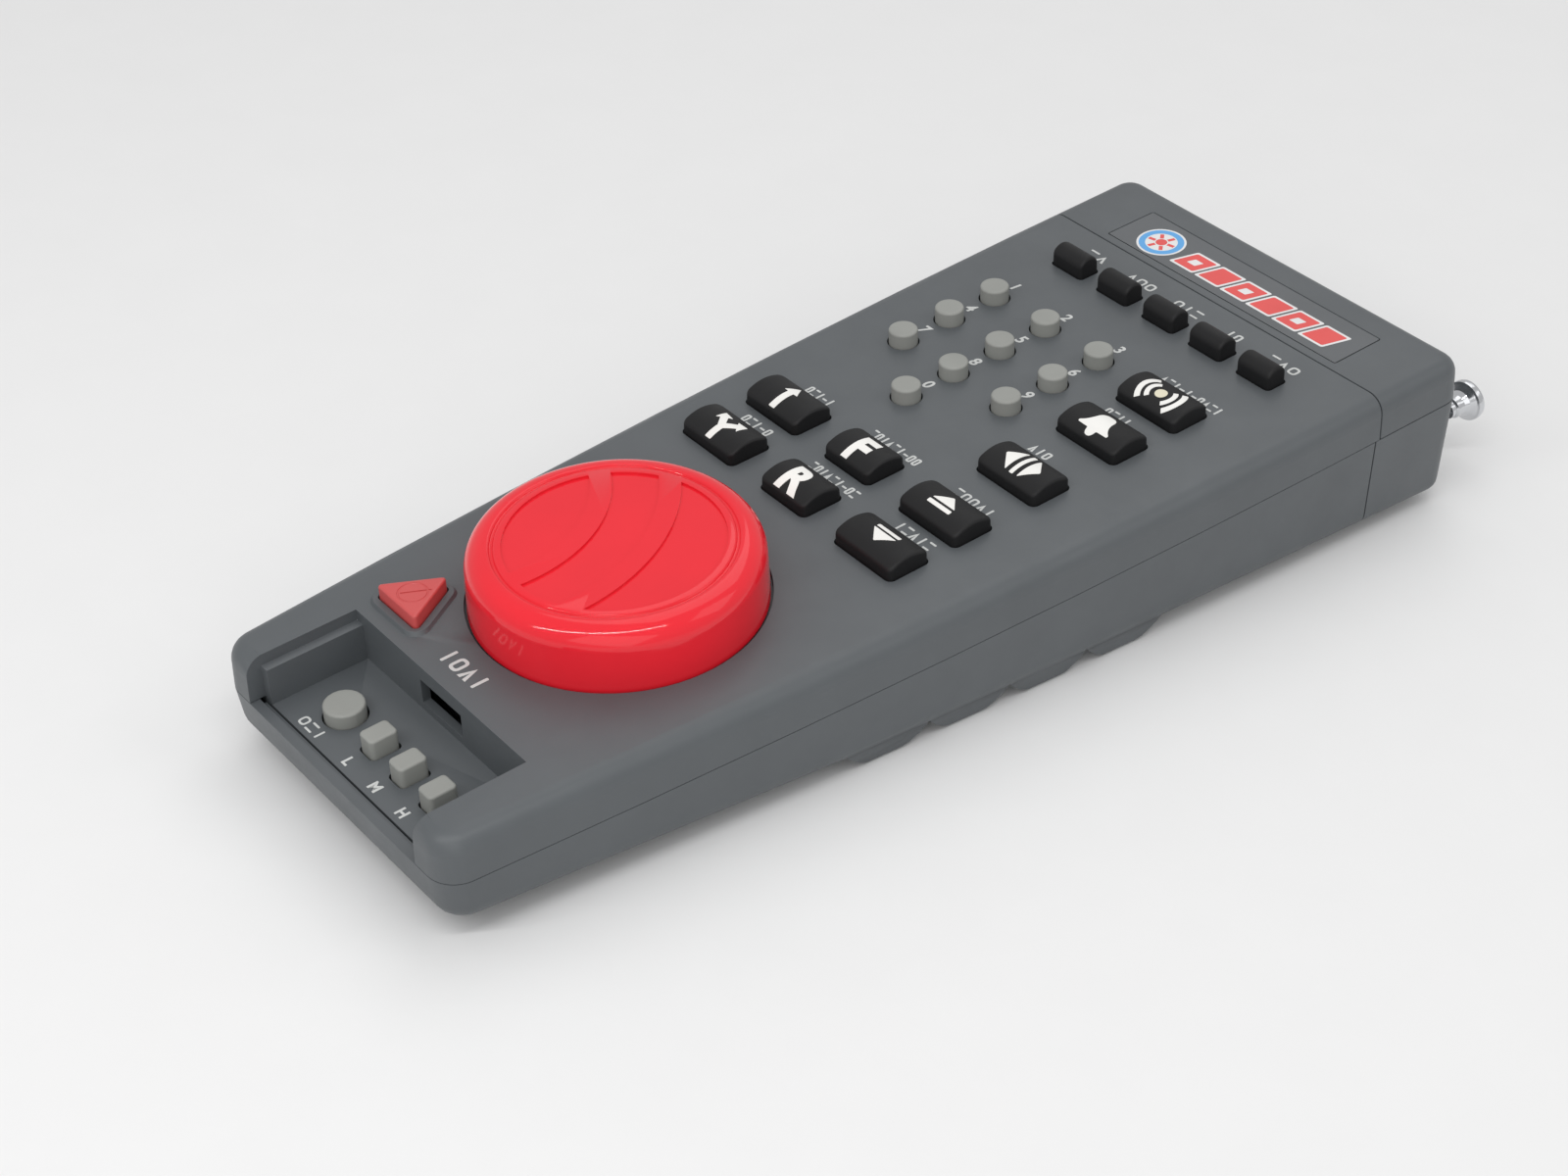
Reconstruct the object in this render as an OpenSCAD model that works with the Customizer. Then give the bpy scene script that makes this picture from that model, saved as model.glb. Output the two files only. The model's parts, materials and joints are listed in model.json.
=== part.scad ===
/* [Housing] */
// Length of the housing from the near end to the antenna end
body_len = 219; // [217:0.1:222]
// Half width at the near end, at the parting line
near_half = 33.8; // [33:0.1:35]
// Half width at the antenna end, at the parting line
far_half = 44.8; // [44:0.1:45.5]
// Outward bow of each side at the middle of its length
side_bow = 2.3; // [1.5:0.1:3]
// Depth of the parting line below the top face
part_depth = 8.8; // [8.4:0.1:9.2]
// Thickness of the moulded walls
wall = 2.2; // [2:0.1:2.4]
// Radius of the edge between the top face and the sides
top_round = 3.5; // [3:0.1:4.4]
// Radius of the edge between the underside and the sides
bottom_round = 4; // [3:0.1:4.5]
// Plan radius of the two near corners
near_corner = 5.5; // [5:0.1:6.5]
// Plan radius of the two antenna-end corners
far_corner = 4.5; // [4.4:0.1:6]
// Draft angle of the side walls
draft = 2; // [1:0.5:3]

/* [Underside] */
// Angle between the top face and the rear underside, which lies level
under_angle = 2.77; // [2.5:0.01:3]
// Distance from the near end to the first finger groove
grip_start = 75.8; // [75:0.1:77]
// Depth of the housing at the near end
near_depth = 17.7; // [17:0.1:18.2]
// Depth of the housing at the first finger groove
grip_depth = 22.8; // [22.5:0.1:23.2]
// Distance between finger grooves
lobe_pitch = 17.45; // [17.2:0.05:17.6]
// Height of the finger lobes below the rear underside
lobe_height = 2.8; // [2:0.1:3]
// Gap between two finger lobes
lobe_gap = 2.4; // [1.5:0.1:3]

/* [Cover recess] */
// Half width of the recess at the near end
recess_half = 25.2; // [24.5:0.1:25.5]
// Distance from the near end to the back wall of the recess
recess_back = 21.8; // [21.4:0.1:22.2]
// Depth of the recess floor below the top face
floor_depth = 9.5; // [9.2:0.1:9.8]
// Depth of the ledges that carry the cover
ledge_depth = 2.2; // [2:0.1:2.5]

/* [Throttle knob] */
// Distance from the near end to the knob axis
knob_y = 58; // [57.5:0.1:58.5]
// Radius of the knob at its base
knob_r = 25.6; // [25:0.1:26]
// Height of the knob above the top face
knob_height = 11.5; // [11:0.1:12.5]
// Radius of the ring groove in the knob's top
groove_r = 20.6; // [19:0.1:21]

/* [Keys] */
// Travel of the keypad keys
key_travel = 1.1; // [0.8:0.1:1.1]
// Gap between a key and the edge of its hole
key_gap = 0.3; // [0.25:0.05:0.4]
// Radius of the number keys
number_r = 2.75; // [2.6:0.05:2.8]
// Height of the number keys above the top face
number_height = 2.9; // [2.5:0.1:3.2]
// Crown height of the large keys above the top face
crown_height = 3.4; // [3:0.1:3.6]
// Crown height of the mode keys above the top face
mode_crown = 4; // [3.6:0.1:4.2]

/* [Antenna] */
// Distance that the antenna's tip stands out of the housing
tip_out = 13.5; // [9:0.5:14]
// Radius of the antenna's tip
tip_r = 4.1; // [3.8:0.1:4.3]
// Length of the antenna's outer tube
sleeve_len = 98; // [90:1:100]

/* [Battery door] */
// Distance from the near end to the top seam of the end cap
cap_seam = 196.8; // [196.4:0.1:197.4]
// Distance from the near end to the edge of the battery door
door_seam = 195.7; // [195.4:0.1:196.2]
// Length of the door's tongue along the underside
tongue_len = 43; // [42:1:43]

/* [Hidden] */
NUMBER_KEYS = [for (n = [0:9]) str("number_key_", n)];
MODE_KEYS = [for (n = [1:5]) str("mode_key_", n)];
// Name, middle in x, middle in y, width of each large key
LARGE_KEYS = [
    ["whistle_key", 19.7, 164.9, 15],
    ["bell_key", 19.7, 150.2, 15],
    ["direction_key", 19.7, 131.3, 15],
    ["boost_key", 19.7, 113.3, 15],
    ["brake_key", 19.7, 98.9, 15],
    ["forward_key", -2.4, 113.5, 12.1],
    ["reverse_key", -2.4, 99.1, 12.1],
    ["aux_1_key", -23.8, 113.3, 14.5],
    ["aux_2_key", -23.8, 98.9, 14.5]
];
RATE_KEYS = ["low_rate_key", "medium_rate_key", "high_rate_key"];

shell_fn = 40;
round_fn = 64;
arc_steps = 7;
seam = 0.16;
bow_steps = 7;
// Edge radius of the lobes, their setback from the sides, and the edge radius under the end face
lobe_round = 1.2;
lobe_setback = 1.5;
end_round = 2.4;
eps = 0.01;
big = 300;

// Rows and columns of the keypad
number_x = [-27.3, -13, 1.5];
number_y = [132.2, 143.6, 155, 166.4];
mode_pitch = 12.45;
mode_mid = -0.4;
mode_y = 185.4;
mode_size = [8.1, 4.6];
mode_edge = 2.7;
large_depth = 8.7;
large_edge = 2.1;
large_corner = 1.3;

// Layers under the top face
flange_top = -2.5;
flange_thick = 0.9;
flange_rim = 0.9;
mat_top = -5.9;
board_top = -6.4;
plunger_r = 1.6;
plunger_low = mat_top + key_travel + 0.3;
board_thick = 1.2;
board_half = 30.2;
board_near = 27.3;
board_far = 190.8;

// Halt key
halt_x = -19.3;
halt_y = 29.7;
halt_side = 12.2;
halt_round = 0.6;
halt_height = 3.1;
lip_margin = 2.3;
lip_height = 0.7;

// Keys in the recess
set_x = -13.3;
rate_x = [-2.5, 6.3, 15];
recess_key_y = 11.1;
set_r = 3.65;
set_height = 2.6;
rate_size = [4, 5.4];
rate_height = 3.6;
recess_travel = 0.8;
tub_front = 3.1;
tub_half = recess_half - 1.8;
tub_floor = 1.5;
tub_wall = 1.6;
floor_low = -floor_depth - tub_floor;
contacts_top = floor_low - 2.3;

// Antenna
antenna_x = 36;
antenna_z = -19.9;
antenna_end = body_len + 1;
tube_wall = 0.35;
tube_gap = 0.1;
sleeve_r = 2.8;
stage_len = 90;

// Batteries
cell_r = 7.1;
cell_len = 49.2;
cell_pitch = 14.8;
cell_x = -26.2;
cell_near = 143.2;
cell_rise = 10.1;
bay_near = 137.2;
bay_wall = 1.4;
bay_low_x = -34.4;
bay_high_x = 26.6;
low_room = 40;
tongue_thick = 2.1;
tongue_half = 29.8;
tongue_mid = -3.9;

// Fastenings
screw_spots = [[-33.2, 83], [33.2, 83], [-29.5, 35.5], [29.5, 35.5]];
screw_seat = -13;
shank_r = 1.3;
head_r = 2.7;
boss_r = 3.9;
board_shank_r = 0.8;
board_screw_spots = [[-27, 85], [27, 85], [0, 122.6], [-27, 176.3]];

// Side draft of the knob
knob_draft = 1;

// Name plate
plate_size = [60.3, 12];
plate_y = 205;
plate_thick = 0.7;

rear_origin = [0, grip_start, -grip_depth];
front_angle = atan((grip_depth - near_depth) / grip_start);

// The rest position: rear underside level, lobes on the floor, middle of the overall length at y = 0
near_reach = top_round * (cos(under_angle) + sin(under_angle) - 1);
far_reach = (body_len + tip_out) * cos(under_angle) - (antenna_z - tip_r) * sin(under_angle);
seat_y = (near_reach + far_reach) / 2;
seat_z = grip_start * sin(under_angle) - grip_depth * cos(under_angle) - lobe_height;

function half_width(y) =
    let (t = y / body_len) near_half + (far_half - near_half) * t + 4 * side_bow * t * (1 - t);
function side_slope(y) = (far_half - near_half + 4 * side_bow * (1 - 2 * y / body_len)) / body_len;
function post_x(y, r) = half_width(y) - r * sqrt(1 + pow(side_slope(y), 2));
// The posts that the side follows, from the near corner to the far corner
function bow_y(i) = near_corner + (body_len - far_corner - near_corner) * i / bow_steps;
function bow_r(i) = i == bow_steps ? far_corner : near_corner;
function arc(x, y, r, a0, a1) =
    [for (i = [0:arc_steps]) let (a = a0 + (a1 - a0) * i / arc_steps) [x + r * cos(a), y + r * sin(a)]];

module seat() {
    translate([0, -seat_y, -seat_z]) rotate([under_angle, 0, 0]) children();
}

// Places children on the rear underside plane, with z square to it
module on_underside() {
    translate(rear_origin) rotate([-under_angle, 0, 0]) children();
}

module both_sides() {
    for (side = [-1, 1]) scale([side, 1, 1]) children();
}

// A round post whose low and high edges are rounded
module post(r_low, z_low, round_low, r_high, z_high, round_high) {
    rotate_extrude($fn = shell_fn) polygon(concat(
        [[0, z_low]],
        round_low > 0 ? arc(r_low - round_low, z_low + round_low, round_low, -90, 0) : [[r_low, z_low]],
        round_high > 0 ? arc(r_high - round_high, z_high - round_high, round_high, 0, 90)
                       : [[r_high, z_high]],
        [[0, z_high]]));
}

// The outside of the upper half, or a smaller form for its cavity
module upper_form(inset, low) {
    drop = (part_depth - top_round) * tan(draft);
    hull() for (side = [-1, 1], i = [0:bow_steps])
        translate([side * post_x(bow_y(i), bow_r(i)), bow_y(i), 0])
            post(bow_r(i) - inset, -low, 0, bow_r(i) - drop - inset, -inset, top_round - inset);
}

// The outside of the lower half, or a smaller form for its cavity, or a deeper one for the lobes
module lower_form(inset, high, deeper) {
    edge = max(0.4, (deeper > 0 ? lobe_round : bottom_round) - inset * 0.6);
    far_edge = min(edge, end_round - inset * 0.6);
    setback = deeper > 0 ? lobe_setback : 0;
    far_drop = (far_corner + 12) * tan(draft);
    hull() for (side = [-1, 1]) {
        for (i = [0:bow_steps]) translate([side * post_x(bow_y(i), bow_r(i)), bow_y(i), -high])
            cylinder(r = bow_r(i) - inset, h = 0.2, $fn = shell_fn);
        translate([side * (post_x(near_corner, near_corner) - 0.2), near_corner + 0.3,
                   -near_depth - near_corner * tan(front_angle) + inset]) rotate([-front_angle, 0, 0])
            post(near_corner - inset, 0, edge, near_corner - inset, edge + 0.5, 0);
        for (y = [grip_start, 122, 168])
            translate([side * (post_x(y, near_corner) - 0.6 - setback), 0, 0])
            on_underside() translate([0, y - grip_start, inset - deeper])
            post(near_corner - inset, 0, edge, near_corner - inset, edge + 0.5, 0);
        translate([side * (post_x(body_len - far_corner, far_corner) - 0.8), 0, 0]) on_underside()
            translate([0, body_len - far_corner - grip_start - far_drop, inset - deeper])
            post(far_corner - inset, 0, far_edge, far_corner - inset, far_edge + 0.5, 0);
    }
}

// The four finger lobes, as rollers that the deeper lower form cuts to width
module lobe_rollers(inset) {
    drop = lobe_height + 0.12;
    roller_r = (pow((lobe_pitch - lobe_gap) / 2, 2) + pow(drop, 2)) / (2 * drop);
    on_underside() for (i = [0:3])
        translate([-big / 2, lobe_pitch * (i + 0.5), roller_r - drop])
        rotate([0, 90, 0]) cylinder(r = roller_r - inset, h = big, $fn = 96);
}

// A flat plate with round corners, centred in plan, standing on z = 0
module plate(w, d, h, r) {
    linear_extrude(h) {
        square([w - 2 * r, d], center = true);
        square([w, d - 2 * r], center = true);
        for (sx = [-1, 1], sy = [-1, 1]) translate([sx * (w / 2 - r), sy * (d / 2 - r)])
            circle(r, $fn = 32);
    }
}

// The halt key's outline grown by a margin: a triangle that points to the antenna end
module triangle(margin, h, taper = 1) {
    r = halt_round + margin;
    linear_extrude(h, scale = taper) hull() for (a = [90, 210, 330]) rotate(a)
        translate([halt_side / sqrt(3) - 2 * halt_round, 0]) circle(r, $fn = 32);
}

module box(low, high) {
    translate(low) cube(high - low);
}

function number_spot(n) = n == 0 ? [number_x[1], number_y[0]]
                                 : [number_x[(n - 1) % 3], number_y[3 - floor((n - 1) / 3)]];
function mode_spot(i) = [mode_mid + (i - 2) * mode_pitch, mode_y];

module key_holes() {
    for (n = [0:9]) translate([number_spot(n)[0], number_spot(n)[1], -wall * 2])
        cylinder(r = number_r + key_gap, h = wall * 3, $fn = round_fn);
    for (i = [0:4]) translate([mode_spot(i)[0], mode_spot(i)[1], -wall * 2])
        plate(mode_size[0] + 2 * key_gap, mode_size[1] + 2 * key_gap, wall * 3, 1);
    for (k = LARGE_KEYS) translate([k[1], k[2], -wall * 2])
        plate(k[3] + 2 * key_gap, large_depth + 2 * key_gap, wall * 3, large_corner);
    translate([halt_x, halt_y, -wall * 2]) triangle(key_gap, wall * 3);
}

// The open space of the cover recess, with its side ledges
module recess_space() {
    box([-recess_half, -1, -ledge_depth], [recess_half, recess_back, 1]);
    box([-tub_half, -1, -floor_depth], [tub_half, recess_back, 0]);
    box([-recess_half, -1, -part_depth - 1], [recess_half, tub_front, 0]);
}

// The walls that stand around the recess inside the upper shell
module recess_walls() {
    side = recess_half + tub_wall;
    box([-side, tub_front, floor_low], [side, recess_back + tub_wall, -eps]);
}

module top_shell() {
    color("dimgray") seat() difference() {
        union() {
            intersection() {
                upper_form(0, part_depth - seam);
                union() {
                    difference() {
                        box([-big, -big, -part_depth - 5], [big, cap_seam - seam, 1]);
                        upper_form(wall, part_depth + 1);
                    }
                    both_sides()
                        box([recess_half, 0, -part_depth], [recess_half + tub_wall, recess_back, 0]);
                    translate([0, knob_y, -wall - 1.4]) cylinder(r = knob_r + 1.6, h = 2, $fn = round_fn);
                    for (s = screw_spots) translate([s[0], s[1], -part_depth + seam])
                        cylinder(r = 3, h = part_depth - wall, $fn = 32);
                    for (s = board_screw_spots) translate([s[0], s[1], board_top + 0.05])
                        cylinder(r = 2, h = -board_top - 1, $fn = 32);
                }
            }
            intersection() {
                recess_walls();
                box([-big, 0.6, -big], [big, 60, -eps]);
            }
            // Lip around the halt key
            translate([halt_x, halt_y, -1]) triangle(lip_margin, lip_height + 1, 0.86);
        }
        recess_space();
        // Opening for the cover's latch
        box([-6, recess_back - 1, -floor_depth + 1.6], [6, recess_back + 3.4, -3]);
        translate([0, knob_y, -1.2]) cylinder(r = knob_r + 0.45, h = 5, $fn = 96);
        translate([0, knob_y, -big / 2]) cylinder(r = 4.6, h = big, $fn = round_fn);
        key_holes();
        translate([0, recess_key_y, -floor_depth - 3]) {
            translate([set_x, 0, 0]) cylinder(r = set_r + key_gap, h = 6, $fn = round_fn);
            for (x = rate_x) translate([x, 0, 0])
                plate(rate_size[0] + 2 * key_gap, rate_size[1] + 2 * key_gap, 6, 1);
        }
        for (s = screw_spots) translate([s[0], s[1], -part_depth - 1])
            cylinder(r = shank_r + 0.05, h = 5.6, $fn = 32);
        for (s = board_screw_spots) translate([s[0], s[1], board_top - 1])
            cylinder(r = board_shank_r + 0.05, h = 4.2, $fn = 24);
    }
}

module end_cap() {
    color("dimgray") seat() difference() {
        intersection() {
            upper_form(0, part_depth - seam);
            box([-big, cap_seam + seam, -part_depth - 5], [big, big, 1]);
        }
        intersection() {
            upper_form(wall, part_depth + 1);
            box([-big, cap_seam - 1, -big], [big, body_len - wall, 1]);
        }
        translate([0, plate_y, -plate_thick - 0.15])
            plate(plate_size[0] + 0.4, plate_size[1] + 0.4, 2, 0.5);
    }
}

module name_plate() {
    color("slategray") seat() translate([0, plate_y, -plate_thick - 0.05])
        plate(plate_size[0], plate_size[1], plate_thick, 0.3);
}

// The lower outline with its lobes
module lower_outside(inset) {
    lower_form(inset, part_depth + seam, 0);
    intersection() {
        lower_form(inset, part_depth + seam, lobe_height);
        lobe_rollers(inset);
    }
}

// The opening that the door's tongue closes
module tongue_opening(clear) {
    along = door_seam - grip_start;
    on_underside() translate([tongue_mid, 0, 0])
        box([-tongue_half - clear, along - tongue_len - clear, -7], [tongue_half + clear, along + 10, 5]);
}

module bottom_shell() {
    far = door_seam - seam;
    bay_top = -part_depth - 3;
    color("dimgray") seat() difference() {
        union() {
            difference() {
                intersection() {
                    lower_outside(0);
                    box([-big, -1, -big], [big, far, 0]);
                }
                lower_outside(wall);
            }
            intersection() {
                lower_outside(0.5);
                union() {
                    for (s = screw_spots) translate([s[0], s[1], -low_room])
                        cylinder(r = boss_r, h = low_room - part_depth - seam, $fn = 48);
                    for (y = [bay_near, far - bay_wall])
                        box([bay_low_x - bay_wall, y, -low_room],
                            [bay_high_x + bay_wall, y + bay_wall, bay_top]);
                    for (x = [bay_low_x - bay_wall, bay_high_x])
                        box([x, bay_near, -low_room], [x + bay_wall, far, bay_top]);
                    // Ledge in front of the recess floor
                    box([-recess_half + 0.6, 1, -near_depth],
                        [recess_half - 0.6, tub_front - 0.4, -floor_depth]);
                }
            }
        }
        tongue_opening(0.15);
        box([-tub_half - 6, 1.9, -floor_depth], [tub_half + 6, 5, 0]);
        for (s = screw_spots) translate([s[0], s[1], -low_room]) {
            cylinder(r = head_r + 0.3, h = low_room + screw_seat, $fn = round_fn);
            cylinder(r = shank_r + 0.25, h = low_room, $fn = round_fn);
        }
    }
}

module battery_door() {
    color("dimgray") seat() {
        difference() {
            intersection() {
                lower_form(0, part_depth + seam, 0);
                box([-big, door_seam + seam, -big], [big, big, 0]);
            }
            intersection() {
                lower_form(wall, part_depth - 1, 0);
                box([-big, 0, -big], [big, big, 0]);
            }
            translate([antenna_x, body_len - 12, antenna_z]) rotate([-90, 0, 0])
                cylinder(r = tip_r + 0.8, h = 20, $fn = round_fn);
        }
        on_underside() translate([tongue_mid, door_seam - grip_start, 0])
            box([-tongue_half, -tongue_len, 0], [tongue_half, 2, tongue_thick]);
    }
}

module knob_outline() {
    rim = 4;
    top_r = knob_r - knob_height * tan(knob_draft);
    polygon(concat(
        [[0, knob_height - 0.35]],
        [[groove_r - 0.7, knob_height - 0.35], [groove_r - 0.3, knob_height - 1],
         [groove_r + 0.3, knob_height - 1], [groove_r + 0.7, knob_height]],
        [for (i = [arc_steps:-1:0]) let (a = knob_draft + (90 - knob_draft) * i / arc_steps)
            [top_r - rim + rim * cos(a), knob_height - rim + rim * sin(a)]],
        [[knob_r, -0.7], [knob_r - 2.4, -0.7], [knob_r - 2.8, 6.8], [5.4, 8.2], [5.4, 1.2], [3.04, 1.2],
         [3.04, 9], [0, 9]]));
}

module throttle_knob() {
    color("crimson") seat() translate([0, knob_y, 0]) rotate_extrude($fn = 96) knob_outline();
}

module encoder_shaft() {
    color("silver") seat() translate([0, knob_y, -10.5]) {
        cylinder(r = 3, h = 19.3, $fn = round_fn);
        cylinder(r = 6, h = 1.2, $fn = round_fn);
    }
}

module encoder_body() {
    color("darkslategray") seat() translate([0, knob_y, 0]) difference() {
        union() {
            translate([0, 0, -12.4]) plate(25, 25, 8.6, 2);
            translate([0, 0, -4]) cylinder(r = 4.4, h = 3.9, $fn = round_fn);
        }
        translate([0, 0, -13]) cylinder(r = 3.06, h = 14, $fn = round_fn);
        translate([0, 0, -10.8]) cylinder(r = 6.3, h = 1.8, $fn = round_fn);
    }
}

module encoder_nut() {
    color("silver") seat() translate([0, knob_y, -1.1]) difference() {
        cylinder(r = 7, h = 1.9, $fn = 6);
        translate([0, 0, -1]) cylinder(r = 4.45, h = 4, $fn = round_fn);
    }
}

module keypad_mat() {
    color("black") seat() difference() {
        box([-board_half, 90.8, board_top], [board_half, 188.8, mat_top]);
        for (s = board_screw_spots) translate([s[0], s[1], -10]) cylinder(r = 2.6, h = 9, $fn = 32);
    }
}

module main_board() {
    color("darkgreen") seat() difference() {
        box([-board_half, board_near, board_top - board_thick], [board_half, board_far, board_top - eps]);
        box([-13.5, knob_y - 13.5, -10], [13.5, knob_y + 13.5, 0]);
        for (s = screw_spots) translate([s[0], s[1], -20]) cylinder(r = 4.6, h = 18, $fn = 32);
        for (s = board_screw_spots) translate([s[0], s[1], -20]) cylinder(r = 1.3, h = 18, $fn = 24);
    }
}

module board_chips() {
    low = board_top - board_thick - eps;
    color("black") seat() {
        for (x = [-18, 14]) translate([x, 105, low - 2.4]) plate(9, 26, 2.4, 0.3);
        translate([-10, 33.3, low - 2.8]) plate(18, 7, 2.8, 0.3);
        for (x = [4, 10, 16]) translate([x, 126, low - 4.2]) cylinder(r = 2.2, h = 4.2, $fn = 32);
    }
}

module recess_contacts() {
    thick = 0.4;
    color("darkgreen") seat() translate([0.5, recess_key_y + 1.2, contacts_top - thick])
        plate(40, 7.5, thick, 0.8);
}

// A plain tube along the antenna's axis
module antenna_tube(r, r_in, from, to) {
    translate([antenna_x, from, antenna_z]) rotate([-90, 0, 0]) difference() {
        cylinder(r = r, h = to - from, $fn = round_fn);
        translate([0, 0, -1]) cylinder(r = r_in, h = to - from + 2, $fn = round_fn);
    }
}

function stage_r(i) = sleeve_r - i * (tube_wall + tube_gap);

module antenna_sleeve() {
    color("silver") seat() {
        antenna_tube(stage_r(0), stage_r(0) - tube_wall, antenna_end - sleeve_len, antenna_end);
        antenna_tube(tip_r + 0.3, stage_r(0) - tube_wall, body_len - 2.6, body_len + 0.4);
    }
}

module antenna_clip() {
    y = antenna_end - sleeve_len;
    color("silver") seat() difference() {
        intersection() {
            box([antenna_x - 4.4, y + 6, antenna_z - sleeve_r - 0.4],
                [antenna_x + sleeve_r + 0.1, y + 12, -part_depth - 0.5]);
            lower_form(wall + 0.2, part_depth + seam, 0);
        }
        translate([antenna_x, y, antenna_z]) rotate([-90, 0, 0])
            cylinder(r = sleeve_r + 0.02, h = 20, $fn = round_fn);
    }
}

module antenna_stage(i) {
    from = antenna_end - stage_len + i;
    color("gainsboro") seat()
        antenna_tube(stage_r(i), stage_r(i) - tube_wall, from, antenna_end + 0.8 * i);
}

module antenna_rod() {
    from = antenna_end - stage_len + 4;
    color("gainsboro") seat() translate([antenna_x, from, antenna_z]) rotate([-90, 0, 0])
        cylinder(r = stage_r(4), h = antenna_end + 5 - from, $fn = round_fn);
}

module antenna_tip() {
    color("silver") seat() translate([antenna_x, body_len + tip_out, antenna_z]) rotate([90, 0, 0])
        rotate_extrude($fn = round_fn) polygon([
            [0, 0], [tip_r - 0.6, 0], [tip_r - 0.1, 0.3], [tip_r, 0.8], [tip_r, 1.2], [tip_r - 0.1, 1.6],
            [tip_r - 0.5, 1.8], [2.6, 2.6], [2, 3.4], [1.8, 4.2], [2.1, 4.5], [2.1, 5.2], [1.7, 5.5],
            [1.7, 6.5], [stage_r(4), 6.5], [stage_r(4), 5.5], [0, 5.5]]);
}

// Places children on one battery's axis, at its negative end
module at_cell(i) {
    translate([cell_x + i * cell_pitch, 0, 0]) on_underside()
        translate([0, cell_near - grip_start, cell_rise]) rotate([-90, 0, 0]) children();
}

module battery_cells() {
    color("goldenrod") seat() for (i = [0:3]) at_cell(i) {
        cylinder(r = cell_r, h = cell_len - 0.9, $fn = round_fn);
        translate([0, 0, i % 2 == 0 ? cell_len - 0.9 : -1]) cylinder(r = 2.7, h = 1, $fn = 32);
    }
}

module contact_springs() {
    color("silver") seat() for (i = [0:3]) at_cell(i)
        translate([0, 0, i % 2 == 0 ? -3.4 : cell_len - 0.8]) difference() {
            cylinder(r1 = i % 2 == 0 ? 4.2 : 2.8, r2 = i % 2 == 0 ? 2.8 : 4.2,
                     h = i % 2 == 0 ? 3.3 : 1, $fn = 32);
            translate([0, 0, -1]) cylinder(r = 2.2, h = 6, $fn = 32);
        }
}

module contact_plates() {
    color("silver") seat() for (i = [0:3]) at_cell(i) {
        translate([-5.5, -5.5, -3.9]) cube([11, 11, 0.4]);
        translate([-5.5, -5.5, cell_len + 0.3]) cube([11, 11, 0.4]);
    }
}

module case_screws() {
    color("silver") seat() for (s = screw_spots) translate([s[0], s[1], screw_seat]) {
        cylinder(r = shank_r, h = 8.6, $fn = 32);
        translate([0, 0, -2]) difference() {
            cylinder(r = head_r, h = 2, $fn = 32);
            for (a = [0, 90]) rotate(a) cube([3.2, 0.6, 1.6], center = true);
        }
    }
}

module board_screws() {
    low = board_top - board_thick - eps;
    color("silver") seat() for (s = board_screw_spots) translate([s[0], s[1], low]) {
        cylinder(r = board_shank_r, h = 3.8, $fn = 24);
        translate([0, 0, -1.3]) cylinder(r = 1.9, h = 1.3, $fn = 24);
    }
}

module battery_leads() {
    color("red") seat() for (x = [-22, -18]) translate([x, bay_near - 12.6, -part_depth - 0.1])
        rotate([-90, 0, 0]) cylinder(r = 0.6, h = 12.6, $fn = 16);
}

module plunger() {
    translate([0, 0, plunger_low]) cylinder(r = plunger_r, h = flange_top - plunger_low, $fn = 32);
}

module number_key(n) {
    bevel = 0.4;
    color("darkgray") seat() translate([number_spot(n)[0], number_spot(n)[1], 0]) {
        rotate_extrude($fn = round_fn) polygon([
            [0, flange_top - flange_thick], [number_r + flange_rim, flange_top - flange_thick],
            [number_r + flange_rim, flange_top], [number_r, flange_top],
            [number_r, number_height - bevel], [number_r - bevel, number_height], [0, number_height]]);
        plunger();
    }
}

// A block whose top is arched from front to back
module arched_block(w, d, edge, crown, corner) {
    sag = crown - edge;
    arch_r = (d * d / 4 + sag * sag) / (2 * sag);
    intersection() {
        translate([0, 0, flange_top - eps]) plate(w, d, crown - flange_top + 1, corner);
        union() {
            translate([-w, 0, crown - arch_r]) rotate([0, 90, 0])
                cylinder(r = arch_r, h = 2 * w, $fn = 96);
            box([-w, -d, flange_top - 1], [w, d, edge - 0.3]);
        }
    }
}

// A key with an arched top, its flange and its plunger
module arched_key(spot, w, d, edge, crown, corner) {
    color("black") seat() translate([spot[0], spot[1], 0]) {
        arched_block(w, d, edge, crown, corner);
        translate([0, 0, flange_top - flange_thick])
            plate(w + 2 * flange_rim, d + 2 * flange_rim, flange_thick, 1);
        plunger();
    }
}

module mode_key(i) {
    arched_key(mode_spot(i), mode_size[0], mode_size[1], mode_edge, mode_crown, 0.7);
}

module large_key(k) {
    arched_key([k[1], k[2]], k[3], large_depth, large_edge, crown_height, large_corner - key_gap);
}

module halt_key() {
    color("firebrick") seat() translate([halt_x, halt_y, 0]) {
        translate([0, 0, flange_top - eps]) triangle(0, halt_height - flange_top);
        translate([0, 0, flange_top - flange_thick]) triangle(flange_rim, flange_thick);
        plunger();
    }
}

// The part of a recess key that is under the recess floor
module recess_stem() {
    translate([0, 0, contacts_top + recess_travel + 0.15])
        cylinder(r = 1.4, h = 2.2, $fn = 32);
}

module set_key() {
    color("darkgray") seat() translate([set_x, recess_key_y, 0]) {
        translate([0, 0, floor_low - 0.5])
            cylinder(r = set_r, h = tub_floor + 0.5 + set_height, $fn = round_fn);
        translate([0, 0, floor_low - 0.9]) cylinder(r = set_r + 0.9, h = 0.6, $fn = round_fn);
        recess_stem();
    }
}

module rate_key(i) {
    color("darkgray") seat() translate([rate_x[i], recess_key_y, 0]) {
        translate([0, 0, floor_low - 0.5])
            plate(rate_size[0], rate_size[1], tub_floor + 0.5 + rate_height, 0.8);
        translate([0, 0, floor_low - 0.9]) plate(rate_size[0] + 1.6, rate_size[1] + 1.6, 0.6, 0.8);
        recess_stem();
    }
}

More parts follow.
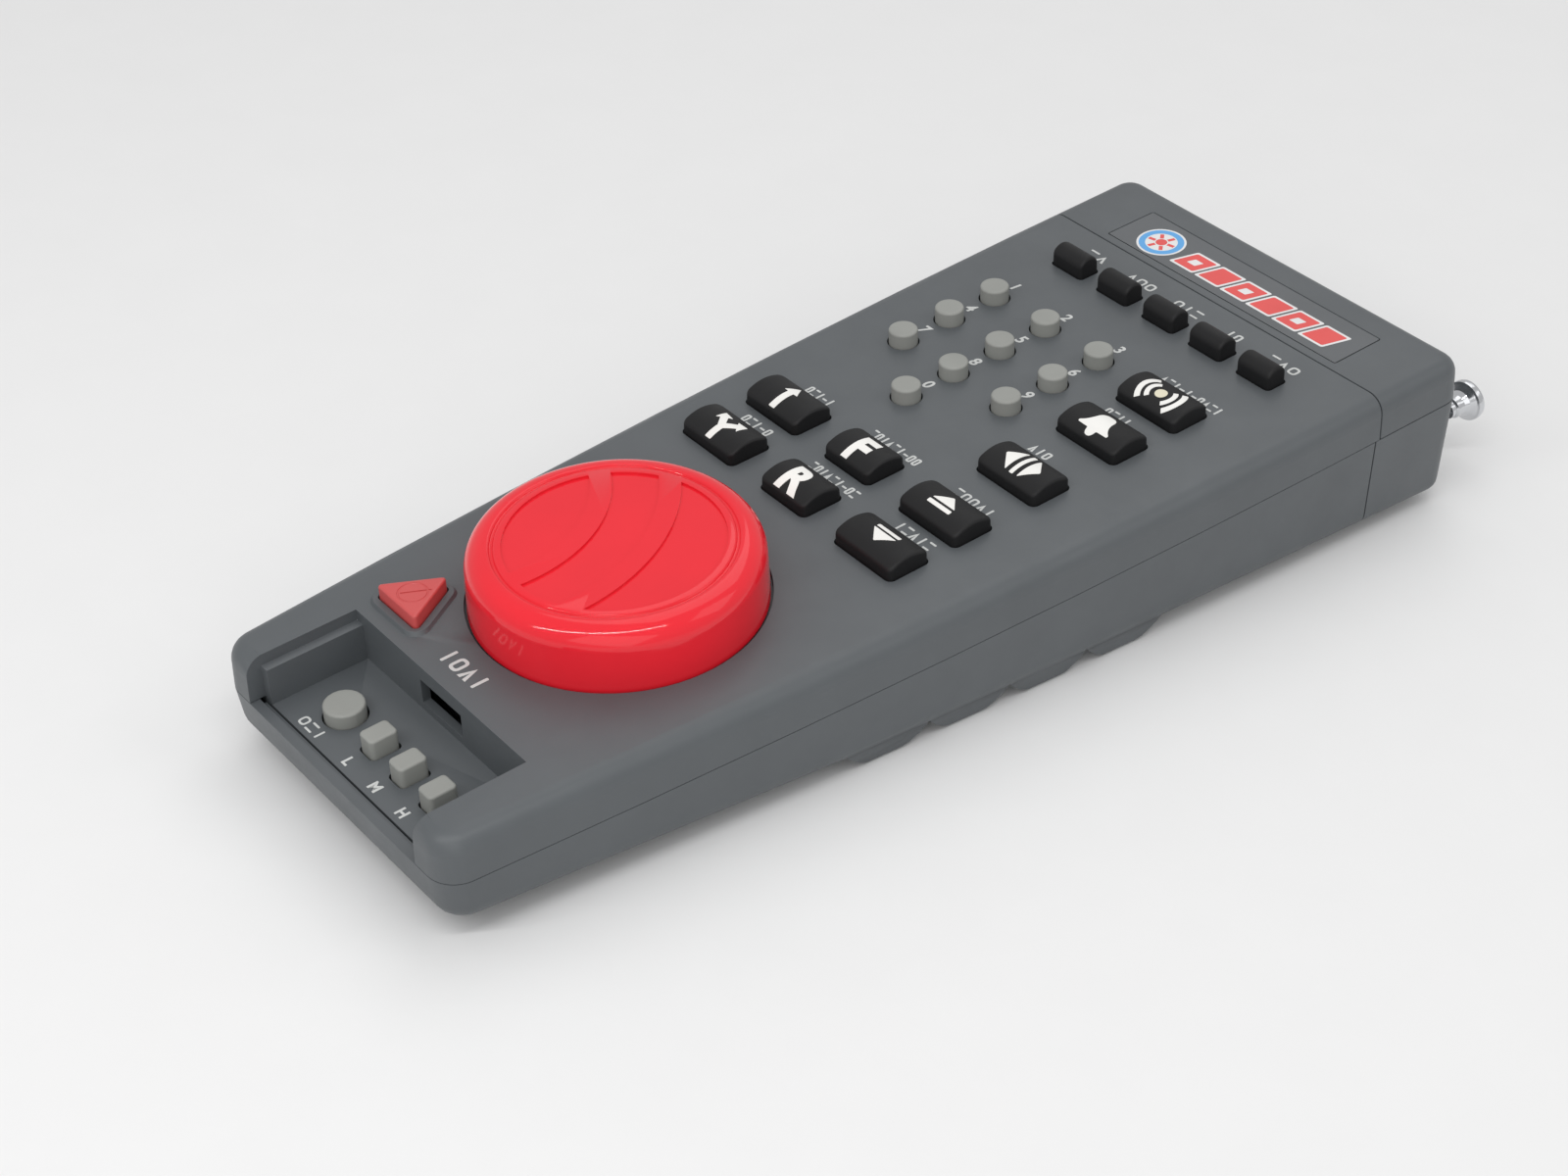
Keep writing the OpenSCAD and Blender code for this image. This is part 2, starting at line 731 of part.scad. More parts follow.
top_shell();
bottom_shell();
end_cap();
name_plate();
throttle_knob();
encoder_shaft();
encoder_body();
encoder_nut();
keypad_mat();
main_board();
board_chips();
recess_contacts();
antenna_sleeve();
antenna_clip();
for (i = [1:3]) antenna_stage(i);
antenna_rod();
antenna_tip();
battery_door();
battery_cells();
contact_springs();
contact_plates();
case_screws();
board_screws();
battery_leads();
halt_key();
set_key();
for (i = [0:2]) rate_key(i);
for (n = [0:9]) number_key(n);
for (i = [0:4]) mode_key(i);
for (k = LARGE_KEYS) large_key(k);
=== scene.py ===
import json
from math import acos, atan2, cos, degrees, pi, radians, sin

import bmesh
import bpy
from mathutils import Matrix, Vector

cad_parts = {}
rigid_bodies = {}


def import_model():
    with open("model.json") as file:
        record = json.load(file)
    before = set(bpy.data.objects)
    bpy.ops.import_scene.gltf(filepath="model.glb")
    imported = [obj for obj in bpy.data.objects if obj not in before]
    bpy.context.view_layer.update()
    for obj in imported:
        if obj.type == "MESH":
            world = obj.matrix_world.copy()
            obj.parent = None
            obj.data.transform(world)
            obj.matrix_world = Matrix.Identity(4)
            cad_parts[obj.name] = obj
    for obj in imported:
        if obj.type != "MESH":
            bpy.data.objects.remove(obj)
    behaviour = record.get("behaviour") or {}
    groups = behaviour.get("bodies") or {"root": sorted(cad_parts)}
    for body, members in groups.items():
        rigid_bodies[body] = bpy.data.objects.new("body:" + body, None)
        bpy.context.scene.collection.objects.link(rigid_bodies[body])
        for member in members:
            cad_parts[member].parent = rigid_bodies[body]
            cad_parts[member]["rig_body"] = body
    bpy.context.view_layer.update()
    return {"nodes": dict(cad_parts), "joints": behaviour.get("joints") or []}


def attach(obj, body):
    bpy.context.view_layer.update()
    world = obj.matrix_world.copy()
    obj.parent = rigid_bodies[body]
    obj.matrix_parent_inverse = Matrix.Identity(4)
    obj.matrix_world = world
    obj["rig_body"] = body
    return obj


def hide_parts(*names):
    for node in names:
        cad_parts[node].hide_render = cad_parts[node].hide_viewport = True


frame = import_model()

MM = 0.001
# The level at which the caps of the keys end, inside the housing, and the radius of the round edge of the
# recess keys and of the halt key
CAP_LOW = -2.4 * MM
KEY_EDGE = 0.45 * MM
NODES = frame["nodes"]
JOINTS = {j["name"]: j for j in frame["joints"]}

# The frame of the top face: origin on the knob's axis, z square to the face, y to the antenna end
turn = JOINTS["throttle_turn"]
face_up = Vector(turn["axis"]).normalized()
face_right = Vector((1, 0, 0))
TOP = Matrix.Translation(turn["pos_m"]) @ Matrix(
    (face_right, face_up.cross(face_right), face_up)).transposed().to_4x4()


def local_box(node, above=-1.0):
    """Lowest and highest corner of a node in the top face's frame, of its points higher than a level."""
    back = TOP.inverted()
    points = [back @ v.co for v in NODES[node].data.vertices]
    points = [p for p in points if p.z > above]
    low = Vector([min(p[i] for p in points) for i in range(3)])
    high = Vector([max(p[i] for p in points) for i in range(3)])
    return low, high


# ---------------------------------------------------------------- materials

def node_tree(name):
    """A new material, its tree of nodes and its shader."""
    mat = bpy.data.materials.new(name)
    mat.use_nodes = True
    return mat, mat.node_tree, mat.node_tree.nodes["Principled BSDF"]


def noise_node(tree, coords, scale, detail, rough=0.55):
    """A noise texture in object coordinates."""
    tex = tree.nodes.new("ShaderNodeTexNoise")
    tex.inputs["Scale"].default_value = scale
    tex.inputs["Detail"].default_value = detail
    tex.inputs["Roughness"].default_value = rough
    tree.links.new(coords.outputs["Object"], tex.inputs["Vector"])
    return tex


def finish(name, color, rough, spread=0.06, rough_spread=0.05, grain=2600, bump=0.12, patch=60,
           depth=0.02, **sockets):
    """A moulded finish: mottled colour, uneven gloss and a fine grain, depth in millimetres."""
    mat, tree, shader = node_tree(name)
    coords = tree.nodes.new("ShaderNodeTexCoord")
    cloudy = noise_node(tree, coords, patch, 4.0)
    ramp = tree.nodes.new("ShaderNodeValToRGB")
    ramp.color_ramp.elements[0].position = 0.3
    ramp.color_ramp.elements[1].position = 0.7
    ramp.color_ramp.elements[0].color = [c * (1 - spread) for c in color] + [1]
    ramp.color_ramp.elements[1].color = [min(1, c * (1 + spread)) for c in color] + [1]
    tree.links.new(cloudy.outputs["Fac"], ramp.inputs["Fac"])
    tree.links.new(ramp.outputs["Color"], shader.inputs["Base Color"])
    worn = noise_node(tree, coords, patch * 2.3, 5.0, 0.65)
    span = tree.nodes.new("ShaderNodeMapRange")
    span.inputs["From Min"].default_value = 0.3
    span.inputs["From Max"].default_value = 0.7
    span.inputs["To Min"].default_value = rough - rough_spread
    span.inputs["To Max"].default_value = rough + rough_spread
    tree.links.new(worn.outputs["Fac"], span.inputs["Value"])
    tree.links.new(span.outputs["Result"], shader.inputs["Roughness"])
    fine = noise_node(tree, coords, grain, 2.0)
    relief = tree.nodes.new("ShaderNodeBump")
    relief.inputs["Strength"].default_value = bump
    relief.inputs["Distance"].default_value = depth * MM
    tree.links.new(fine.outputs["Fac"], relief.inputs["Height"])
    tree.links.new(relief.outputs["Normal"], shader.inputs["Normal"])
    for socket, value in sockets.items():
        shader.inputs[socket.replace("_", " ")].default_value = value
    return mat


MATS = {
    "housing": finish("housing_plastic", (0.089, 0.098, 0.105), 0.44, 0.05, 0.05, bump=0.25),
    "knob": finish("red_gloss", (0.79, 0.017, 0.03), 0.08, 0.03, 0.02, grain=900, bump=0.02,
                   Specular_IOR_Level=0.42),
    "halt": finish("red_satin", (0.56, 0.078, 0.076), 0.42, 0.06, 0.06, bump=0.25),
    "grey_key": finish("grey_key_plastic", (0.275, 0.28, 0.262), 0.5, 0.06, 0.05, bump=0.3),
    "rubber": finish("black_rubber", (0.0085, 0.0085, 0.0092), 0.56, 0.2, 0.06, grain=3400, bump=0.5,
                     Specular_IOR_Level=0.3),
    "ink": finish("white_ink", (0.85, 0.84, 0.81), 0.5, 0.04, 0.05),
    "legend": finish("grey_ink", (0.56, 0.57, 0.56), 0.5, 0.04, 0.05),
    "cream_ink": finish("cream_ink", (0.72, 0.68, 0.52), 0.5, 0.05, 0.05),
    "plate": finish("plate_film", (0.1, 0.107, 0.114), 0.4, 0.04, 0.05, bump=0.1),
    "plate_red": finish("plate_red_ink", (0.72, 0.08, 0.075), 0.42, 0.05, 0.05),
    "plate_blue": finish("plate_blue_ink", (0.1, 0.36, 0.72), 0.42, 0.05, 0.05),
    "plate_white": finish("plate_white_ink", (0.74, 0.74, 0.74), 0.42, 0.05, 0.05),
    "chrome": finish("chrome_plate", (0.66, 0.67, 0.69), 0.14, 0.04, 0.05, grain=600, bump=0.03,
                     Metallic=1.0),
    "steel": finish("zinc_steel", (0.5, 0.5, 0.5), 0.34, 0.1, 0.1, grain=1500, bump=0.15, Metallic=1.0),
    "board": finish("circuit_board", (0.02, 0.1, 0.045), 0.4, 0.2, 0.08, grain=1200, bump=0.2),
    "black": finish("black_plastic", (0.02, 0.02, 0.022), 0.45, 0.15, 0.06),
    "cell": finish("cell_label", (0.62, 0.4, 0.08), 0.32, 0.08, 0.06, grain=700, bump=0.05),
    "lead": finish("lead_red", (0.5, 0.03, 0.03), 0.42, 0.08, 0.05),
}

# ---------------------------------------------------------------- piece makers


def shade(mesh, angle=32):
    """Smooth shading that keeps the edges sharper than an angle."""
    mesh.shade_smooth()
    mesh.set_sharp_from_angle(angle=radians(angle))


def soft_edges(piece, width, angle):
    """A small bevel, in millimetres, along the edges that are sharper than an angle."""
    soft = piece.modifiers.new("soft_edges", "BEVEL")
    soft.width = width * MM
    soft.segments = 2
    soft.limit_method = "ANGLE"
    soft.angle_limit = radians(angle)
    soft.harden_normals = True


def add_piece(name, bm, mat, like, replaces=True, angle=32, at=(0, 0, 0)):
    """Turns a mesh in the top face's frame, in metres, into a piece that rides with a node's body."""
    bmesh.ops.recalc_face_normals(bm, faces=bm.faces)
    mesh = bpy.data.meshes.new(name)
    bm.transform(TOP @ Matrix.Translation(at))
    bm.to_mesh(mesh)
    bm.free()
    shade(mesh, angle)
    mesh.materials.append(MATS[mat])
    piece = bpy.data.objects.new(name, mesh)
    bpy.context.scene.collection.objects.link(piece)
    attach(piece, NODES[like]["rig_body"])
    if replaces:
        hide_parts(like)
    return piece


def loft(loops):
    """A closed skin over loops with equal numbers of points."""
    bm = bmesh.new()
    rows = [[bm.verts.new(p) for p in loop] for loop in loops]
    count = len(rows[0])
    for low, high in zip(rows, rows[1:]):
        for i in range(count):
            j = (i + 1) % count
            bm.faces.new((low[i], low[j], high[j], high[i]))
    bm.faces.new(rows[0][::-1])
    bm.faces.new(rows[-1])
    return bm


def lathe(profile, steps=96):
    """Turns (radius, height) points round z; a point on the axis becomes a pole."""
    bm = bmesh.new()
    rows = []
    for r, z in profile:
        if r < 1e-7:
            rows.append([bm.verts.new((0, 0, z))] * steps)
        else:
            rows.append([bm.verts.new((r * cos(2 * pi * i / steps), r * sin(2 * pi * i / steps), z))
                         for i in range(steps)])
    for low, high in zip(rows, rows[1:]):
        for i in range(steps):
            j = (i + 1) % steps
            corners = []
            for v in (low[i], low[j], high[j], high[i]):
                if v not in corners:
                    corners.append(v)
            if len(corners) > 2:
                bm.faces.new(corners)
    return bm


def arc_points(x, y, r, start, end, steps):
    """Points along an arc, both ends included; angles in degrees."""
    return [(x + r * cos(radians(start + (end - start) * i / steps)),
             y + r * sin(radians(start + (end - start) * i / steps))) for i in range(steps + 1)]


def outline(w, d, r, corner_steps=5, side_steps=8):
    """A rectangle with round corners, with points along its sides too."""
    points = []
    for sx, sy, start in ((1, 1, 0), (-1, 1, 90), (-1, -1, 180), (1, -1, 270)):
        corner = arc_points(sx * (w / 2 - r), sy * (d / 2 - r), r, start, start + 90, corner_steps)
        if points:
            last = points[-1]
            points += [(last[0] + (corner[0][0] - last[0]) * i / side_steps,
                        last[1] + (corner[0][1] - last[1]) * i / side_steps) for i in range(1, side_steps)]
        points += corner
    last, first = points[-1], points[0]
    points += [(last[0] + (first[0] - last[0]) * i / side_steps,
                last[1] + (first[1] - last[1]) * i / side_steps) for i in range(1, side_steps)]
    return points


def pillow(w, d, r, low, height, edge, taper=0.0, edge_steps=6, rings=7):
    """A block with round corners whose top follows height(x, y) and meets the sides in a round edge."""

    def shape(inset):
        wide, deep = w - 2 * inset, d - 2 * inset
        return outline(wide, deep, max(r - inset, 0.12 * min(wide, deep)))

    def ring(inset, drop):
        return [(x, y, height(x, y) - drop) for x, y in shape(inset)]

    loops = [[(x, y, low) for x, y in shape(0)]]
    for t in (0.35, 0.7, 1.0):
        loops.append([(x, y, low + (height(x, y) - edge - low) * t) for x, y in shape(taper / 2 * t)])
    for i in range(1, edge_steps + 1):
        a = radians(90 * i / edge_steps)
        loops.append(ring(taper / 2 + edge * (1 - cos(a)), edge * (1 - sin(a))))
    start = edge + taper / 2
    for i in range(1, rings):
        loops.append(ring(start + (min(w, d) / 2 - start) * 0.9 * i / (rings - 1), 0))
    return loft(loops)


def conform(bm, height, lift, strip=0.35 * MM):
    """Cuts a flat shape into strips and lays it on height(x, y)."""
    ys = [v.co.y for v in bm.verts]
    y = min(ys) + strip
    while y < max(ys):
        bmesh.ops.bisect_plane(bm, geom=bm.verts[:] + bm.edges[:] + bm.faces[:], plane_co=(0, y, 0),
                               plane_no=(0, 1, 0), dist=1e-7)
        y += strip
    for v in bm.verts:
        v.co.z = height(v.co.x, v.co.y) + lift


def ink(name, bm, mat, like, height=None, at=(0, 0, 0), thick=0.05 * MM, lift=0.012 * MM):
    """A thin printed mark that lies on a surface."""
    if height:
        conform(bm, height, lift)
    else:
        bm.transform(Matrix.Translation((0, 0, lift)))
    flat = bm.faces[:]
    for f in flat:
        if f.normal.z < 0:
            f.normal_flip()
    grown = bmesh.ops.extrude_face_region(bm, geom=flat)
    for v in grown["geom"]:
        if isinstance(v, bmesh.types.BMVert):
            v.co.z += thick
    return add_piece(name, bm, mat, like, replaces=False, at=at)


def flat_shape(polygons):
    """Filled polygons, each a list of (x, y) in millimetres, or a pair of an outline and a hole."""
    bm = bmesh.new()
    for polygon in polygons:
        rings = polygon if isinstance(polygon[0], list) else [polygon]
        edges = []
        for points in rings:
            verts = [bm.verts.new((x * MM, y * MM, 0)) for x, y in points]
            edges += [bm.edges.new((a, b)) for a, b in zip(verts, verts[1:] + verts[:1])]
        bmesh.ops.triangle_fill(bm, use_beauty=True, use_dissolve=False, edges=edges)
    return bm


def soften(points, r, steps=4):
    """Rounds each corner of a polygon."""
    out = []
    for i, p in enumerate(points):
        a, b, c = Vector(points[i - 1]), Vector(p), Vector(points[(i + 1) % len(points)])
        to_a, to_c = (a - b), (c - b)
        reach = min(r, to_a.length * 0.45, to_c.length * 0.45)
        start, end = b + to_a.normalized() * reach, b + to_c.normalized() * reach
        for k in range(steps + 1):
            t = k / steps
            q = start * (1 - t) ** 2 + b * 2 * t * (1 - t) + end * t ** 2
            out.append((q.x, q.y))
    return out


def band(radius, width, start, end, x, y, steps=16):
    """A stretch of a ring about (x, y), in millimetres."""
    return (arc_points(x, y, radius + width / 2, start, end, steps)
            + arc_points(x, y, radius - width / 2, end, start, steps))


def circle(x, y, r, steps=24):
    return [(x + r * cos(2 * pi * k / steps), y + r * sin(2 * pi * k / steps)) for k in range(steps)]


def bar(x0, y0, x1, y1):
    """A rectangle with slightly round corners, in millimetres."""
    return soften([(x0, y0), (x1, y0), (x1, y1), (x0, y1)], 0.22)


def glyph(letter, size, bold=0.0, slant=0.0):
    """A digit or single letter as a flat mesh centred on the origin."""
    curve = bpy.data.curves.new("glyph", "FONT")
    curve.body = letter
    curve.size = size * MM
    curve.offset = bold * MM
    curve.shear = slant
    curve.fill_mode = "FRONT"
    curve.resolution_u = 6
    holder = bpy.data.objects.new("glyph", curve)
    bpy.context.scene.collection.objects.link(holder)
    bpy.context.view_layer.update()
    mesh = holder.evaluated_get(bpy.context.evaluated_depsgraph_get()).to_mesh()
    bm = bmesh.new()
    bm.from_mesh(mesh)
    bpy.data.objects.remove(holder)
    bpy.data.curves.remove(curve)
    bmesh.ops.remove_doubles(bm, verts=bm.verts, dist=0.002 * MM)
    low = Vector([min(v.co[i] for v in bm.verts) for i in range(3)])
    high = Vector([max(v.co[i] for v in bm.verts) for i in range(3)])
    bm.transform(Matrix.Translation(-(low + high) / 2))
    return bm


def engrave(piece, name, tool, at):
    """Cuts a mesh in the top face's frame out of a piece."""
    bmesh.ops.remove_doubles(tool, verts=tool.verts, dist=1e-7)
    bmesh.ops.recalc_face_normals(tool, faces=tool.faces)
    tool.transform(TOP @ Matrix.Translation(at))
    mesh = bpy.data.meshes.new(name)
    tool.to_mesh(mesh)
    tool.free()
    cutter = bpy.data.objects.new(name, mesh)
    bpy.context.scene.collection.objects.link(cutter)
    cut = piece.modifiers.new(name, "BOOLEAN")
    cut.object = cutter
    cut.operation = "DIFFERENCE"
    cut.solver = "EXACT"
    bpy.context.view_layer.objects.active = piece
    with bpy.context.temp_override(object=piece, active_object=piece, selected_objects=[piece]):
        bpy.ops.object.modifier_apply(modifier=name)
    bpy.data.objects.remove(cutter)


def block(points, low, high):
    """A prism over (x, y) points in millimetres."""
    return loft([[(x * MM, y * MM, z * MM) for x, y in points] for z in (low, high)])


# ---------------------------------------------------------------- housing

WELD = 0.002 * MM


def refined(node, mat, bevel):
    """The node's own shape with coplanar facets joined, softened edges and smooth curved faces."""
    bm = bmesh.new()
    bm.from_mesh(NODES[node].data)
    bmesh.ops.remove_doubles(bm, verts=bm.verts, dist=WELD)
    bmesh.ops.dissolve_degenerate(bm, edges=bm.edges, dist=WELD)
    bmesh.ops.dissolve_limit(bm, angle_limit=radians(0.4), verts=bm.verts, edges=bm.edges)
    mesh = bpy.data.meshes.new(node + "_skin")
    bm.to_mesh(mesh)
    bm.free()
    shade(mesh, 27)
    mesh.materials.append(MATS[mat])
    piece = bpy.data.objects.new(node + "_skin", mesh)
    bpy.context.scene.collection.objects.link(piece)
    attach(piece, NODES[node]["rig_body"])
    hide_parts(node)
    soft_edges(piece, bevel, 38)


for shell in ("top_shell", "bottom_shell", "end_cap", "battery_door"):
    refined(shell, "housing", 0.16)

CARRIED = {
    "encoder_shaft": "steel", "encoder_body": "black", "encoder_nut": "steel", "keypad_mat": "rubber",
    "main_board": "board", "board_chips": "black", "recess_contacts": "board", "antenna_clip": "steel",
    "battery_cells": "cell", "contact_springs": "steel", "contact_plates": "steel",
    "case_screws": "steel", "board_screws": "steel", "battery_leads": "lead", "name_plate": "plate",
    "antenna_sleeve": "chrome", "antenna_stage_1": "chrome", "antenna_stage_2": "chrome",
    "antenna_stage_3": "chrome", "antenna_rod": "chrome", "antenna_tip": "chrome",
}
for node, mat in CARRIED.items():
    NODES[node].data.materials.clear()
    NODES[node].data.materials.append(MATS[mat])

# ---------------------------------------------------------------- throttle knob

# In millimetres: radius of the disc in the knob's top, centre of the two curved rails that cross it, the
# radii from that centre between which each sunk field of the disc lies (None for no limit), and their depth
KNOB_DISC = 18.9
RAIL_CENTRE = Vector((-30.0, -16.0))
KNOB_FIELDS = [(None, 26.3), (30.1, 38.1), (41.9, None)]
FIELD_DEPTH = 0.4


def rail_arc(r):
    """The stretch, on the knob's disc, of a circle of radius r about the rails' centre."""
    away = RAIL_CENTRE.length
    middle = degrees(atan2(-RAIL_CENTRE.y, -RAIL_CENTRE.x))
    spread = degrees(acos((away ** 2 + r ** 2 - KNOB_DISC ** 2) / (2 * away * r)))
    return arc_points(*RAIL_CENTRE, r, middle - spread, middle + spread, 32)


def disc_edge(first, last, steps):
    """Points of the disc's edge, anticlockwise from one point on it to another, both left out."""
    start, end = [degrees(atan2(y, x)) for x, y in (first, last)]
    return arc_points(0, 0, KNOB_DISC, start, end + (360 if end < start else 0), steps)[1:-1]


def sunk_field(r_low, r_high):
    """Outline of the part of the knob's disc that lies between two circles about the rails' centre."""
    far = rail_arc(r_high) if r_high else []
    near = rail_arc(r_low)[::-1] if r_low else []
    if far and near:
        return far + disc_edge(far[-1], near[0], 8) + near + disc_edge(near[-1], far[0], 8)
    arc = far or near
    return arc + disc_edge(arc[-1], arc[0], 40)


def knob():
    """The knob's shell, with a ring groove and a disc that a pair of curved rails crosses."""
    lowest, highest = local_box("throttle_knob")
    # The top stays a hair under the CAD's, so that rounding never lifts it out of the CAD's box
    low, radius, top = lowest.z / MM, highest.x / MM, highest.z / MM - 0.006
    rim, groove, draft = 4.0, 20.6, 1.0
    top_r = radius - (top - low) * sin(radians(draft))
    profile = [(radius - 2.2, low), (radius - 0.25, low), (radius, low + 0.25)]
    profile += arc_points(top_r - rim, top - rim, rim, 2, 88, 16)
    # Section of the groove: distance from its middle circle, and height against the top
    section = [(0.6, 0), (0.4, -0.1), (0.22, -0.42), (0, -0.5), (-0.22, -0.42), (-0.4, -0.1), (-0.6, 0)]
    profile += [(groove + across, top + up) for across, up in section] + [(0, top)]
    bm = lathe([(r * MM, z * MM) for r, z in profile], 160)
    piece = add_piece("throttle_knob_shell", bm, "knob", "throttle_knob", angle=60)
    for i, limits in enumerate(KNOB_FIELDS):
        engrave(piece, f"knob_field_{i}", block(sunk_field(*limits), top - FIELD_DEPTH, top + 1), (0, 0, 0))
    shade(piece.data, 40)
    soft_edges(piece, 0.14, 50)


knob()

# ---------------------------------------------------------------- keys


def key_place(low, high):
    """A key's middle in the top face's frame, on the face."""
    return Vector(((low.x + high.x) / 2, (low.y + high.y) / 2, 0))


def rubber_key(node, edge, corner, swell=0.2, taper=0.15):
    """An arched rubber key, a little wider than the CAD's; gives its centre and its top surface."""
    low, high = local_box(node, above=0.5 * MM)
    crown, side = high.z, low.z
    w, d = high.x - low.x, high.y - low.y
    centre = key_place(low, high)

    def height(x, y):
        return crown - (crown - side) * (2 * y / d) ** 2

    bm = pillow(w + swell * MM, d + swell * MM, corner * MM, CAP_LOW, height, edge * MM, taper * MM)
    add_piece(node + "_cap", bm, "rubber", node, at=centre, angle=50)
    return centre, height


def arrow(x, y, angle, head_length, head_width, length, width):
    """A straight arrow from (x, y) at an angle from +y, in millimetres."""
    neck = length - head_length
    shape = [(-width / 2, 0), (width / 2, 0), (width / 2, neck), (head_width / 2, neck), (0, length),
             (-head_width / 2, neck), (-width / 2, neck)]
    turn_by = radians(angle)
    return soften([(x + px * cos(turn_by) - py * sin(turn_by), y + px * sin(turn_by) + py * cos(turn_by))
                   for px, py in shape], 0.18)


def bell_outline():
    """Half of a bell from its crown to its lip, then the clapper, mirrored."""
    half = [(0, 2.6), (0.9, 2.5), (1.55, 2.05), (1.85, 1.3), (2.0, 0.3), (2.35, -0.7), (2.95, -1.5),
            (3.7, -2.05), (3.6, -2.45), (1.05, -2.5), (1.0, -3.2), (0.6, -3.75), (0, -3.9)]
    return soften(half + [(-x, y) for x, y in half[-2:0:-1]], 0.5, 3)


# Pictograms, in millimetres from the middle of each key
WHISTLE_MIDDLE = (0.3, -0.5)
ICONS = {
    "whistle_key": [circle(*WHISTLE_MIDDLE, 1.2)],
    "bell_key": [bell_outline()],
    "direction_key": [soften([(-4.3, 0), (-1.35, -3.1), (-1.35, 3.1)], 0.4), bar(-0.35, -3.1, 0.55, 3.1),
                      soften([(4.5, 0), (1.55, 3.1), (1.55, -3.1)], 0.4)],
    "boost_key": [soften([(0, 2.3), (-2.85, -0.35), (2.85, -0.35)], 0.3), bar(-2.85, -1.75, 2.85, -0.9)],
    "brake_key": [soften([(0, -1.7), (2.85, 1.0), (-2.85, 1.0)], 0.3), bar(-2.85, 1.5, 2.85, 2.3)],
    "aux_1_key": [arrow(0, -3.9, 0, 2.4, 3.5, 7.0, 1.5)],
    "aux_2_key": [bar(-0.75, -4.0, 0.75, 0.3), arrow(-0.2, -0.6, 40, 1.9, 3.2, 4.3, 1.45),
                  arrow(0.2, -0.6, -48, 1.9, 3.2, 4.5, 1.45)],
}
LETTERS = {"forward_key": "F", "reverse_key": "R"}

LARGE = list(ICONS) + list(LETTERS)
for node in LARGE:
    centre, height = rubber_key(node, edge=0.55, corner=1.1)
    if node in ICONS:
        for i, polygon in enumerate(ICONS[node]):
            ink(f"{node}_mark_{i}", flat_shape([polygon]), "cream_ink" if node == "whistle_key" else "ink",
                node, height, at=centre)
    else:
        letter = glyph(LETTERS[node], 8.6, 0.4)
        letter.transform(Matrix.Translation((0.2 * MM, -0.7 * MM, 0)))
        ink(node + "_mark", letter, "ink", node, height, at=centre)
    if node == "whistle_key":
        waves = [band(r, wide, side - span, side + span, *WHISTLE_MIDDLE)
                 for r, wide, span in ((2.65, 0.95, 49), (4.35, 1.1, 45)) for side in (0, 180)]
        for i, wave in enumerate(waves):
            ink(f"{node}_wave_{i}", flat_shape([soften(wave, 0.12, 2)]), "ink", node, height, at=centre)

for i in range(1, 6):
    rubber_key(f"mode_key_{i}", edge=0.7, corner=0.8)

# From the middle of a number key to the middle of its printed number
NUMBER_SHIFT = Vector((-0.2, 5.6, 0)) * MM
for n in range(10):
    node = f"number_key_{n}"
    low, high = local_box(node, above=0.0)
    r, top = (high.x - low.x) / 2, high.z
    centre = key_place(low, high)
    edge = 0.42 * MM
    profile = [(r, CAP_LOW), (r, top - edge)] + arc_points(r - edge, top - edge, edge, 0, 90, 5)
    profile += [(r * k / 5, top) for k in (4, 3, 2, 1)] + [(0, top)]
    add_piece(node + "_cap", lathe(profile, 64), "grey_key", node, at=centre)
    ink(node + "_legend", glyph(str(n), 3.4, bold=0.09, slant=0.12), "legend", "top_shell",
        at=centre + NUMBER_SHIFT)

# ---------------------------------------------------------------- recess keys

# How far the set key stands above the floor of its recess
SET_HEIGHT = 2.6 * MM
floor_z = local_box("set_key")[1].z - SET_HEIGHT
for node in ("set_key", "low_rate_key", "medium_rate_key", "high_rate_key"):
    low, high = local_box(node, above=floor_z)
    w, d, top = high.x - low.x, high.y - low.y, high.z
    base = local_box(node)[0].z + 1 * MM
    # The set key is round, the rate keys have round corners
    corner = w / 2 - 0.001 * MM if node == "set_key" else 0.9 * MM
    bm = pillow(w, d, corner, base, lambda x, y: top, KEY_EDGE, rings=5)
    add_piece(node + "_cap", bm, "grey_key", node, at=key_place(low, high))

# ---------------------------------------------------------------- halt key


def halt_cap():
    """The triangular key, with a ring and a slash cut into its top."""
    low, high = local_box("halt_key", above=0.0)
    top, corner = high.z, 0.6 * MM
    reach = ((high.x - low.x) / 2 - corner) / cos(radians(30))
    place = ((low.x + high.x) / 2, high.y - reach - corner, 0)

    def tri(inset, z):
        points = []
        for a in (90, 210, 330):
            x, y = reach * cos(radians(a)), reach * sin(radians(a))
            points += arc_points(x, y, corner - inset, a - 60, a + 60, 5)
        return [(x, y, z) for x, y in points]

    loops = [tri(0, CAP_LOW), tri(0, top - KEY_EDGE)]
    for i in range(1, 6):
        a = radians(90 * i / 5)
        loops.append(tri(KEY_EDGE * (1 - cos(a)), top - KEY_EDGE * (1 - sin(a))))
    piece = add_piece("halt_key_cap", loft(loops), "halt", "halt_key", at=place)
    ring_r, half_width, depth = 2.55 * MM, 0.2 * MM, 0.16 * MM
    section = [(ring_r + half_width * cos(t), top + depth * sin(t))
               for t in [2 * pi * k / 12 for k in range(13)]]
    engrave(piece, "halt_ring_cutter", lathe(section, 64), place)
    slash = bmesh.new()
    slash_place = Matrix.Translation((0.07 * MM, 0.6 * MM, top)) @ Matrix.Rotation(radians(61), 4, "Z")
    slash_size = Matrix.Diagonal((5.3 * MM, 0.34 * MM, 0.3 * MM, 1))
    bmesh.ops.create_cube(slash, size=1.0, matrix=slash_place @ slash_size)
    engrave(piece, "halt_slash_cutter", slash, place)


halt_cap()

# ---------------------------------------------------------------- legends on the top face


